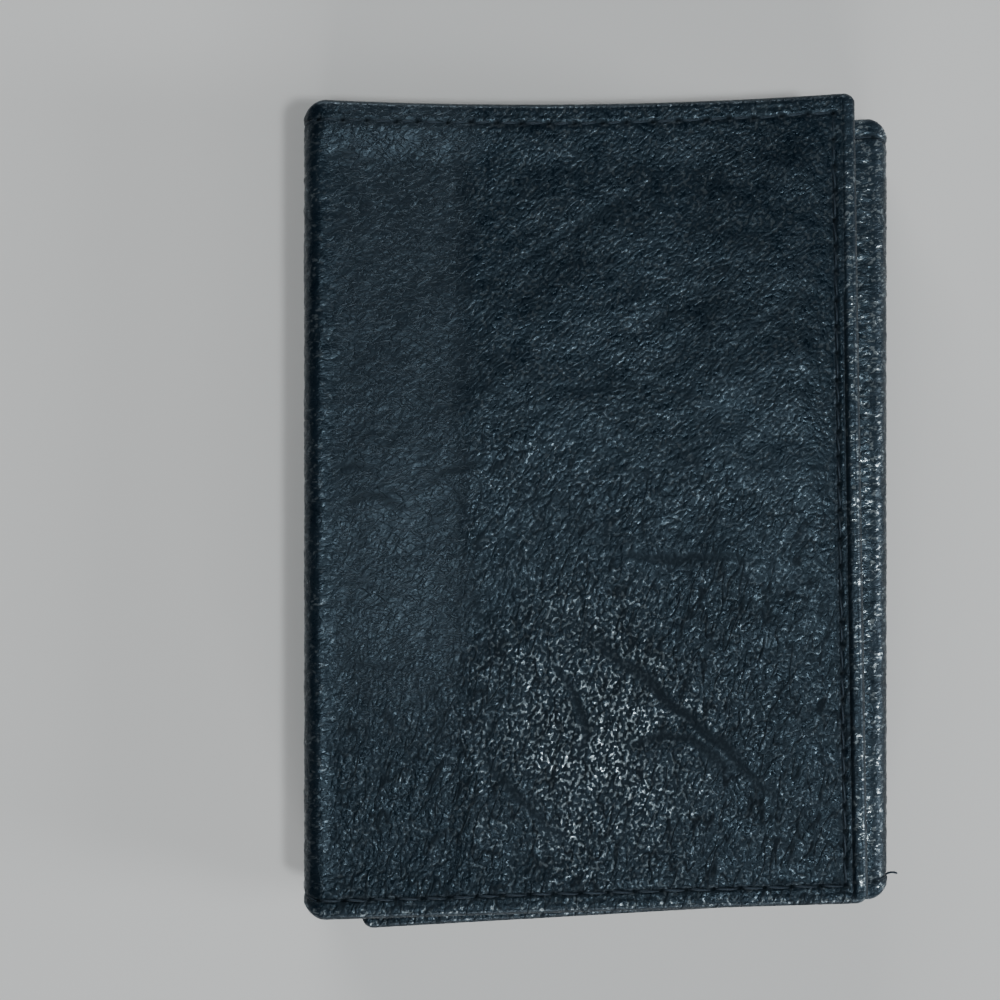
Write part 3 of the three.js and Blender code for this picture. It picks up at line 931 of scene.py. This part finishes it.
def shell_leather():
    graph = Graph("shell_leather")
    mirrored = graph.add("VectorMath", {0: graph.attribute("flat", "Vector"), 1: (-1, 1, 1)},
                         operation="MULTIPLY")
    place = mirrored.outputs[0]
    wear, grime_and_painted_shade, lean, matte, fold, smoothed, polish_and_painted_highlight = (
        graph.attribute(mark)
        for mark in ("wear", "grime_and_painted_shade", "lean", "matte", "fold", "smoothed", "polish_and_painted_highlight"))
    # Height of the grain, and how strong it is
    body = in_directions(graph, place, lean, fine_grain)
    lines = in_directions(graph, place, lean, long_valleys)
    for mark, low, high in ((lean, 0.35, 1.0), (matte, 1.0, 0.3), (smoothed, 1.0, 0.2),
                            (fold, 1.0, 0.1)):
        lines = graph.times(lines, graph.blend(mark, low, high))
    fibres = graph.times(crossed_fibres(graph, place), matte)
    height = graph.blend(graph.times(fold, 0.75), body, fold_crinkle(graph, place))
    strength = graph.blend(matte, 1.0, 0.8)
    for mark, low, high in ((smoothed, 1.0, 0.4), (polish_and_painted_highlight, 1.0, 1.25), (lean, 0.60, 1.0)):
        strength = graph.times(strength, graph.blend(mark, low, high))
    total = graph.math("ADD", graph.times(height, strength), graph.times(fibres, 0.75))
    total = graph.math("SUBTRACT", total, graph.times(lines, 0.50))
    bump = graph.add("Bump", {"Strength": 1.0, "Distance": 0.0001, "Height": total})
    # Tips: the tops of the grain that are rubbed, with pale painted glints laid into their
    # colour, most in the polished patch and on worn rims
    raised = graph.ramp(height, 0.38, 0.60)
    rubbed = graph.ramp(noise_of(graph, place, 0.5, 2.0, 0.6, 0.3), 0.38, 0.60)
    rubbed = graph.math("MAXIMUM", rubbed, graph.times(polish_and_painted_highlight, 0.75))
    tips_with_painted_glints = graph.times(graph.ramp(height, 0.46, 0.62), rubbed)
    shown = graph.math("MAXIMUM", polish_and_painted_highlight, graph.math("MAXIMUM", wear, 0.20))
    shown = graph.times(shown, graph.blend(matte, 1.0, 0.3))
    tips_with_painted_glints = graph.times(graph.times(tips_with_painted_glints, shown), graph.blend(smoothed, 1.0, 0.12))
    painted_glint_colour = graph.over(graph.tint, (0.21, 0.25, 0.27, 1),
                      (polish_and_painted_highlight, (0.25, 0.295, 0.315, 1)), (wear, (0.42, 0.48, 0.50, 1)))
    grime_and_shade_colour = (0.0016, 0.0026, 0.0040, 1)
    navy = (0.0012, 0.0042, 0.0082, 1)
    tone = graph.over(
        graph.tint, navy,
        (graph.ramp(noise_of(graph, place, 0.09, 3.0), 0.35, 0.7), (0.0022, 0.0062, 0.0112, 1)),
        (graph.times(matte, 0.8), (0.0180, 0.0250, 0.0320, 1)),
        (graph.times(raised, 0.35), (0.0045, 0.0100, 0.0155, 1)),
        (graph.times(fibres, 0.6), (0.022, 0.032, 0.041, 1)),
        (graph.times(wear, 0.55), (0.026, 0.038, 0.050, 1)),
        # painted glints on the grain's tips
        (graph.times(tips_with_painted_glints, 0.9), painted_glint_colour),
        # grime and painted shade in seams, needle holes, creases and grain valleys
        (graph.times(grime_and_painted_shade, 0.85), grime_and_shade_colour),
        # painted shade along the long valley lines
        (graph.times(lines, 0.65), grime_and_shade_colour))
    roughness = graph.over(
        graph.blend, graph.blend(raised, 0.38, 0.18),
        (graph.times(matte, 0.8), 0.30),
        (polish_and_painted_highlight, graph.blend(raised, 0.40, 0.17)),
        (graph.times(wear, 0.75), graph.blend(raised, 0.32, 0.14)),
        (graph.times(grime_and_painted_shade, 0.9), 0.90),
        (graph.times(lines, 0.75), 0.90))
    return graph.surface(graph.add("BsdfPrincipled", {
        "Base Color": tone, "Roughness": roughness, "Normal": bump.outputs[0],
        "Metallic": graph.times(tips_with_painted_glints, 0.85), "IOR": 1.36,
        "Specular Tint": (0.62, 0.84, 1.0, 1)}))


def pocket_leather():
    graph = Graph("pocket_leather")
    place = graph.attribute("flat", "Vector")
    wear, grime_and_painted_shade = graph.attribute("wear"), graph.attribute("grime_and_painted_shade")
    domes = graph.add("TexVoronoi", {"Vector": turned_place(graph, place, 60, 1.3),
                                     "Scale": 1.05}, feature="DISTANCE_TO_EDGE",
                      voronoi_dimensions="2D").outputs["Distance"]
    specks = noise_of(graph, place, 3.5, 2.0, 0.6)
    height = graph.math("ADD", graph.ramp(domes, 0.0, 0.28), specks)
    bump = graph.add("Bump", {"Strength": 0.9, "Distance": 0.00012, "Height": height})
    cloud = noise_of(graph, place, 0.12, 3.0)
    tone = graph.tint(graph.ramp(cloud, 0.35, 0.7), (0.010, 0.014, 0.018, 1),
                     (0.015, 0.020, 0.025, 1))
    sunk = graph.ramp(domes, 0.0, 0.13, 1.0, 0.0)
    tone = graph.tint(graph.times(sunk, 0.6), tone, (0.003, 0.004, 0.006, 1))
    tone = graph.tint(graph.times(wear, 0.5), tone, (0.034, 0.042, 0.050, 1))
    # grime and painted shade in seams, needle holes and pressed lines
    tone = graph.tint(graph.times(grime_and_painted_shade, 0.8), tone, (0.003, 0.004, 0.006, 1))
    roughness = graph.blend(graph.ramp(height, 0.6, 1.5), 0.70, 0.34)
    roughness = graph.blend(graph.times(wear, 0.7), roughness, 0.30)
    shader = graph.add("BsdfPrincipled", {
        "Base Color": tone, "Roughness": roughness, "Normal": bump.outputs[0], "IOR": 1.5})
    return graph.surface(shader)


def lining_cloth():
    graph = Graph("lining")
    place = graph.attribute("flat", "Vector")
    wear = graph.attribute("wear")
    warp = graph.add("TexWave", {"Vector": place, "Scale": 3.6, "Distortion": 0.4},
                     wave_type="BANDS", bands_direction="X", wave_profile="SIN").outputs[1]
    weft = graph.add("TexWave", {"Vector": place, "Scale": 3.6, "Distortion": 0.4},
                     wave_type="BANDS", bands_direction="Y", wave_profile="SIN").outputs[1]
    weave = graph.math("MAXIMUM", warp, graph.times(weft, 0.85))
    slub = noise_of(graph, turned_place(graph, place, 90, 6.0), 1.4, 2.0)
    height = graph.math("ADD", weave, graph.times(slub, 0.5))
    bump = graph.add("Bump", {"Strength": 0.6, "Distance": 0.00006, "Height": height})
    tone = graph.tint(graph.times(height, 0.7), (0.006, 0.008, 0.011, 1),
                     (0.024, 0.028, 0.034, 1))
    tone = graph.tint(graph.times(wear, 0.4), tone, (0.045, 0.048, 0.052, 1))
    shader = graph.add("BsdfPrincipled", {
        "Base Color": tone, "Roughness": 0.62, "Normal": bump.outputs[0],
        "Sheen Weight": 0.25, "Sheen Roughness": 0.35})
    return graph.surface(shader)


def clear_film():
    graph = Graph("clear_film")
    place = graph.attribute("flat", "Vector")
    scratch = noise_of(graph, turned_place(graph, place, 35, 9.0), 1.3, 3.0, 0.6)
    haze = noise_of(graph, place, 0.15, 3.0)
    bump = graph.add("Bump", {"Strength": 0.12, "Distance": 0.00003, "Height": scratch})
    roughness = graph.ramp(graph.math("ADD", haze, graph.times(scratch, 0.4)),
                           0.5, 1.0, 0.05, 0.22)
    tone = graph.tint(haze, (0.93, 0.95, 0.95, 1), (0.86, 0.88, 0.86, 1))
    shader = graph.add("BsdfPrincipled", {
        "Base Color": tone, "Roughness": roughness, "Normal": bump.outputs[0],
        "IOR": 1.46, "Transmission Weight": 0.94})
    return graph.surface(shader)


def thread_material():
    graph = Graph("thread")
    place = graph.add("TexCoord").outputs["Object"]
    fibres = graph.add("TexNoise", {"Vector": place, "Scale": 9000.0, "Detail": 2.0}).outputs[0]
    cloud = graph.add("TexNoise", {"Vector": place, "Scale": 160.0, "Detail": 1.0}).outputs[0]
    tone = graph.tint(fibres, (0.0010, 0.0018, 0.0030, 1), (0.006, 0.009, 0.013, 1))
    tone = graph.tint(graph.ramp(cloud, 0.5, 0.75, 0.0, 0.6), tone, (0.016, 0.024, 0.032, 1))
    bump = graph.add("Bump", {"Strength": 0.4, "Distance": 0.00003, "Height": fibres})
    shader = graph.add("BsdfPrincipled", {
        "Base Color": tone, "Roughness": 0.55, "Normal": bump.outputs[0],
        "Specular Tint": (0.6, 0.8, 1.0, 1), "Sheen Weight": 0.03, "Sheen Roughness": 0.4})
    return graph.surface(shader)


def floor_material():
    graph = Graph("floor")
    place = graph.add("TexCoord").outputs["Object"]
    cloud = graph.add("TexNoise", {"Vector": place, "Scale": 6.0, "Detail": 3.0}).outputs[0]
    tone = graph.tint(cloud, (0.74, 0.72, 0.69, 1), (0.79, 0.77, 0.74, 1))
    shader = graph.add("BsdfPrincipled", {"Base Color": tone, "Roughness": 0.8})
    return graph.surface(shader)


# --- the wallet -------------------------------------------------------------------------

FINISHES = {
    "shell_leather": shell_leather(),
    "pocket_leather": pocket_leather(),
    "lining": lining_cloth(),
    "clear_film": clear_film(),
    "thread": thread_material(),
}

# Panels: name, first and last place along the shell, bodies, and what each layer replaces
PANELS = [
    ("cover_panel", "cover_free", "cover_spine_middle", ("cover_spine", "cover"), "cover",
     ("cover_spine_top", "cover_fold")),
    ("cover_fold", "cover_spine_middle", "centre_start", ("centre", "cover_spine"),
     "cover_spine", ("centre_start", "cover_spine_bottom")),
    ("centre_panel", "centre_start", "centre_end", ("centre",), "centre", None),
    ("inner_fold", "centre_end", "inner_spine_middle", ("centre", "inner_spine"),
     "inner_spine", ("centre_end", "inner_spine_bottom")),
    ("inner_flap_panel", "inner_spine_middle", "inner_free", ("inner_spine", "inner_flap"),
     "inner_flap", ("inner_spine_top", "inner_fold")),
]
OUTER_THREADS = {
    "cover": ["cover_seam_thread"],
    "cover_spine": ["cover_spine_upper_seam_thread", "cover_spine_lower_seam_thread"],
    "centre": ["centre_upper_seam_thread", "centre_lower_seam_thread"],
    "inner_spine": ["inner_spine_upper_seam_thread", "inner_spine_lower_seam_thread"],
    "inner_flap": ["inner_flap_seam_thread"],
}


def corner_point(station):
    x, z = SHELL.spot(SHELL.at[station])[:2]
    return (x * MM, 0, z * MM)


def join(piece, slot, bodies, span, replaced=()):
    """Material from a slot, CAD nodes replaced, and for a piece without a span the first body it
    moves with; a spanning piece stays put.
    """
    piece.data.materials.append(FINISHES[slot])
    if replaced:
        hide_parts(*replaced)
    if span:
        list(bodies)
        corner_point(span[0])
        corner_point(span[1])
        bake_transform(piece)
    else:
        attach(piece, bodies[0])


def make_panels():
    for k, (name, start, end, bodies, stem, span) in enumerate(PANELS):
        rolled = (start == "cover_free", end == "inner_free")
        leather = shell_piece(name + "_leather", start, end, *rolled)
        join(leather, "shell_leather", bodies, span, [stem + "_leather"])

        def reach(inset):
            first = (lambda p: p.at[start] + inset) if rolled[0] else start
            last = (lambda p: p.at[end] - inset) if rolled[1] else end
            return first, last

        lining = layer_piece(name + "_lining", "lining", LINING_DEPTH, LINING_THICK,
                             reach(LINING_INSET), rolled, LINING_INSET, LINING_INSET)
        join(lining, "lining", bodies, span, [stem + "_lining"])
        declare_lining(start, end)
        wall = layer_piece(name + "_note_wall", "wall", WALL_DEPTH, WALL_THICK,
                           reach(WALL_INSET), rolled, WALL_TOP, WALL_INSET)
        join(wall, "pocket_leather", bodies, span, [stem + "_note_wall"])
        make_stitching(name, start, end, bodies, stem, span, 5 + k)


def declare_lining(start, end):
    """Makes a path at the lining's depth and bend, and does nothing with it."""
    path = Path(LINING_DEPTH, LINING_BEND)


def make_stitching(name, start, end, bodies, stem, span, seed):
    """The stitches seen from outside, which replace the plain threads, and those inside."""
    rng = np.random.default_rng(seed)
    holes = {"cover": COVER_HOLES, "inner_flap": INNER_HOLES}.get(stem, [])

    def under_frame(a):
        return stem == "centre" and a[1] < 0 and abs(SHELL.place(*a, 0)[0]) < UNDER_FRAME_X

    for suffix, place, skip, replaced in (
            ("_stitching", outer_place, None, OUTER_THREADS[stem]),
            ("_inside_stitching", inner_place, under_frame, ())):
        points, faces = seam_stitches(start, end, rng, place, skip)
        free_stitches(holes, points, faces, rng, place)
        if stem == "inner_flap" and replaced:
            add_tube(points, faces, loose_end(), TAIL / 2, around=8)
        join(mesh_piece(name + suffix, points, faces), "thread", bodies, span, replaced)


def loose_end():
    """The thread's tail at the lower end of the right fold."""
    along = SHELL.at["inner_spine_top"] + 0.5
    x, z, nx, nz = SHELL.spot(along)
    y = seam_y(along, False)
    return [np.array([x + nx * t + 0.12 * t, y + 0.22 * math.sin(2.2 * t) - 0.05 * t,
                      z + nz * t - 0.25 * t * t]) for t in np.linspace(-0.3, 1.35, 12)]


def pocket_reach(flap):
    """Where a flap's pockets start and end along a layer's path."""
    if flap == "cover":
        return (lambda p: p.at["cover_free"] + POCKET_INSET,
                lambda p: fold_place(p, "cover_fold", LEFT + BEND + POCKET_FOLD_INSET))
    return (lambda p: fold_place(p, "inner_fold", RIGHT - BEND - POCKET_FOLD_INSET),
            lambda p: p.at["inner_free"] - POCKET_INSET)


def make_pockets():
    for k, (depth, top) in enumerate(zip(POCKET_DEPTHS, POCKET_TOPS)):
        for flap in ("cover", "inner_flap"):
            name = f"{flap}_card_pocket_{k + 1}"
            piece = layer_piece(name + "_leather", "pocket", depth, POCKET_THICK,
                                pocket_reach(flap), (True, True), top, POCKET_INSET,
                                POCKET_CORNER)
            join(piece, "pocket_leather", (flap,), None, [name])


def fold_place(path, station, x):
    """The distance along a path of an X on a flap, beside a fold."""
    return path.at[station] + path.spot(path.at[station])[0] - x


def centre_reach(inset):
    """Where a layer of the centre panel starts and ends, an inset from both folds."""
    edge = RIGHT - BEND - inset
    return (lambda p: p.at["centre_start"] - edge - p.spot(p.at["centre_start"])[0],
            lambda p: p.at["centre_end"] + edge - p.spot(p.at["centre_end"])[0])


def make_id_pocket():
    slip = layer_piece("centre_slip_pocket_leather", "pocket", POCKET_DEPTHS[0], SLIP_THICK,
                       centre_reach(SLIP_INSET), (True, True), SLIP_TOP, POCKET_INSET,
                       POCKET_CORNER)
    join(slip, "pocket_leather", ("centre",), None, ["centre_slip_pocket"])
    film = layer_piece("id_window_clear_film", "film", FILM_DEPTH, FILM_THICK,
                       centre_reach(FILM_INSET), (True, True), FRAME_TOP + 1, FRAME_BOTTOM + 1,
                       step=0.8)
    join(film, "clear_film", ("centre",), None, ["id_window_film"])
    make_frame()
    make_frame_stitching()


def frame_corners(in_x, in_y):
    """The corners of a shape inside the window frame's outline, by two insets."""
    x = RIGHT - BEND - FRAME_INSET - in_x
    top, bottom = FRAME_TOP + in_y, FRAME_BOTTOM + in_y
    high = np.interp([-x, x], [LEFT, RIGHT], [SPINE_TOPS["cover"], SPINE_TOPS["inner"]])
    low = np.interp([-x, x], [LEFT, RIGHT], [SPINE_BOTTOMS["cover"], SPINE_BOTTOMS["inner"]])
    return [(-x, low[0] + bottom), (x, low[1] + bottom), (x, high[1] - top),
            (-x, high[0] - top)]


def round_loop(corners, radius, per_corner=10, spacing=0.55, counts=None):
    """A loop of points round a four-sided shape with rounded corners."""
    points, used = [], []
    for k in range(4):
        corner = np.array(corners[k])
        before, after = np.array(corners[k - 1]), np.array(corners[(k + 1) % 4])
        to_before = (before - corner) / np.linalg.norm(before - corner)
        to_after = (after - corner) / np.linalg.norm(after - corner)
        start, end = corner + radius * to_before, corner + radius * to_after
        centre = start + end - corner
        for j in range(per_corner):
            t = j / per_corner * math.pi / 2
            points.append(centre + (start - centre) * math.cos(t) + (end - centre) * math.sin(t))
        run = after + radius * (corner - after) / np.linalg.norm(corner - after)
        count = counts[k] if counts else max(1, round(np.linalg.norm(run - end) / spacing))
        used.append(count)
        points += [end + (run - end) * j / count for j in range(count)]
    return np.array(points), used


def make_frame():
    """The leather frame of the identity window, as a ring with two round edges."""
    low, high = node_box("id_window_frame")
    outer, counts = round_loop(frame_corners(0, 0), FRAME_CORNER)
    inner, _ = round_loop(frame_corners(BORDER_X, BORDER_Y), WINDOW_CORNER, counts=counts)
    near = np.array([0, 0.04, 0.13, 0.28, 0.48])
    steps = np.concatenate([near, np.linspace(0.8, BORDER_X - 0.8, 12),
                            BORDER_X - near[::-1]]) / BORDER_X
    grid = outer[:, None] + (inner - outer)[:, None] * steps[None, :, None]
    from_outer = np.linalg.norm(grid - outer[:, None], axis=-1)
    from_inner = np.linalg.norm(grid - inner[:, None], axis=-1)
    edge = np.minimum(from_outer, from_inner)
    thick = high[2] - low[2]
    roll = rolled_profile(edge, 0.5)
    relief_of = 0.05 * fractal(grid[..., 0] / 5, grid[..., 1] / 5, 81, 2)
    groove = bell(from_outer - FRAME_SEAM_INSET, 0.35)
    line = bell(from_inner - 1.3, 0.2)
    up = low[2] + thick / 2 + (thick / 2 + relief_of - 0.14 * groove - 0.1 * line) * roll
    down = low[2] + thick / 2 - thick / 2 * roll
    rows, cols = edge.shape
    top = np.arange(rows * cols).reshape(rows, cols)
    under = top.copy()
    under[:, 1:-1] = rows * cols + np.arange(rows * (cols - 2)).reshape(rows, cols - 2)
    points = np.concatenate([np.dstack([grid, up]).reshape(-1, 3),
                             np.dstack([grid, down])[:, 1:-1].reshape(-1, 3)])
    faces = []
    for ids, turn in ((top, 1), (under, -1)):
        ahead = np.roll(ids, -1, axis=0)
        quads = np.stack([ids[:, :-1], ahead[:, :-1], ahead[:, 1:], ids[:, 1:]], -1)
        faces += quads.reshape(-1, 4)[:, ::turn].tolist()
    piece = mesh_piece("id_window_frame_leather", points, faces)
    used = np.zeros(edge.shape, bool)
    used[:, 1:-1] = True
    rubbed = patches(grid[..., 0], grid[..., 1], 4, 82)
    add_attribute(piece.data, "wear", bell(edge, 0.8) * (0.4 + 0.6 * rubbed), used)
    # grime and painted shade in the seam groove and the pressed line
    add_attribute(piece.data, "grime_and_painted_shade", np.maximum(0.8 * groove, 0.7 * line), used)
    add_attribute(piece.data, "flat", np.dstack([grid, np.zeros(edge.shape)]), used)
    join(piece, "pocket_leather", ("centre",), None, ["id_window_frame"])


def make_frame_stitching():
    rng = np.random.default_rng(31)
    face = node_box("id_window_frame")[1][2] - 0.1
    seam, _ = round_loop(frame_corners(FRAME_SEAM_INSET, FRAME_SEAM_INSET), 0.6,
                         per_corner=3, spacing=3.1)
    points, faces = [], []
    for a, b in zip(seam, np.roll(seam, -1, axis=0)):
        if np.linalg.norm(b - a) > 1:
            lean = 0.10 + 0.03 * rng.standard_normal()
            path = stitch_path(a, b, lean, lambda x, y, rise: np.array([x, y, face + rise]))
            add_tube(points, faces, path, FRAME_THREAD / 2)
    stitches = mesh_piece("id_window_stitching", points, faces)
    join(stitches, "thread", ("centre",), None, ["id_frame_seam_thread"])


# --- stage ------------------------------------------------------------------------------

CAMERA_HEIGHT = 250.0    # above the cover
CAMERA_AT = (-13.4, 2.2)
VIEW_WIDTH = 131.6       # of the picture, in the cover's plane


# Lights in metres and watts: name, place, width and height, power, colour
LIGHTS = [
    ("key", (0.35, -0.25, 1.36), (0.11, 0.11), 6.8, (0.90, 0.96, 1.0)),
    ("lamp", (-0.04, -0.27, 1.45), (0.09, 0.09), 2.9, (0.86, 0.94, 1.0)),
    ("right", (1.45, -0.25, 0.50), (0.4, 0.7), 12.0, (0.90, 0.95, 1.0)),
    ("front", (0.10, -1.45, 0.50), (0.9, 0.3), 13.0, (0.96, 0.98, 1.0)),
    ("back", (-0.35, 1.45, 0.50), (0.9, 0.3), 13.0, (0.96, 0.98, 1.0)),
]


def make_camera():
    data = bpy.data.cameras.new("camera")
    data.sensor_width = 36
    data.lens = 36 * CAMERA_HEIGHT / VIEW_WIDTH
    data.clip_start, data.clip_end = 0.01, 20
    camera = bpy.data.objects.new("camera", data)
    camera.location = (CAMERA_AT[0] * MM, CAMERA_AT[1] * MM, (COVER_TOP + CAMERA_HEIGHT) * MM)
    bpy.context.scene.collection.objects.link(camera)
    bpy.context.scene.camera = camera


def area_light(name, place, size, power, colour):
    data = bpy.data.lights.new(name, "AREA")
    data.shape, data.size, data.size_y = "RECTANGLE", size[0], size[1]
    data.energy, data.color = power, colour
    light = bpy.data.objects.new(name, data)
    light.location = place
    aim = Vector((0, 0, 0)) - Vector(place)
    light.rotation_mode = "QUATERNION"
    light.rotation_quaternion = aim.to_track_quat("-Z", "Y")
    bpy.context.scene.collection.objects.link(light)


def make_stage():
    mesh = bpy.data.meshes.new("floor")
    reach = 3.0
    corners = [(-reach, -reach, 0), (reach, -reach, 0), (reach, reach, 0), (-reach, reach, 0)]
    mesh.from_pydata(corners, [], [[0, 1, 2, 3]])
    floor = bpy.data.objects.new("floor", mesh)
    floor.location.z = -0.0001
    mesh.materials.append(floor_material())
    bpy.context.scene.collection.objects.link(floor)
    world = bpy.data.worlds.new("studio")
    world.use_nodes = True
    sky = world.node_tree.nodes["Background"]
    sky.inputs[0].default_value = (0.72, 0.86, 1.0, 1)
    sky.inputs[1].default_value = 0.04
    bpy.context.scene.world = world
    for light in LIGHTS:
        area_light(*light)


make_camera()
make_panels()
make_pockets()
make_id_pocket()
make_stage()
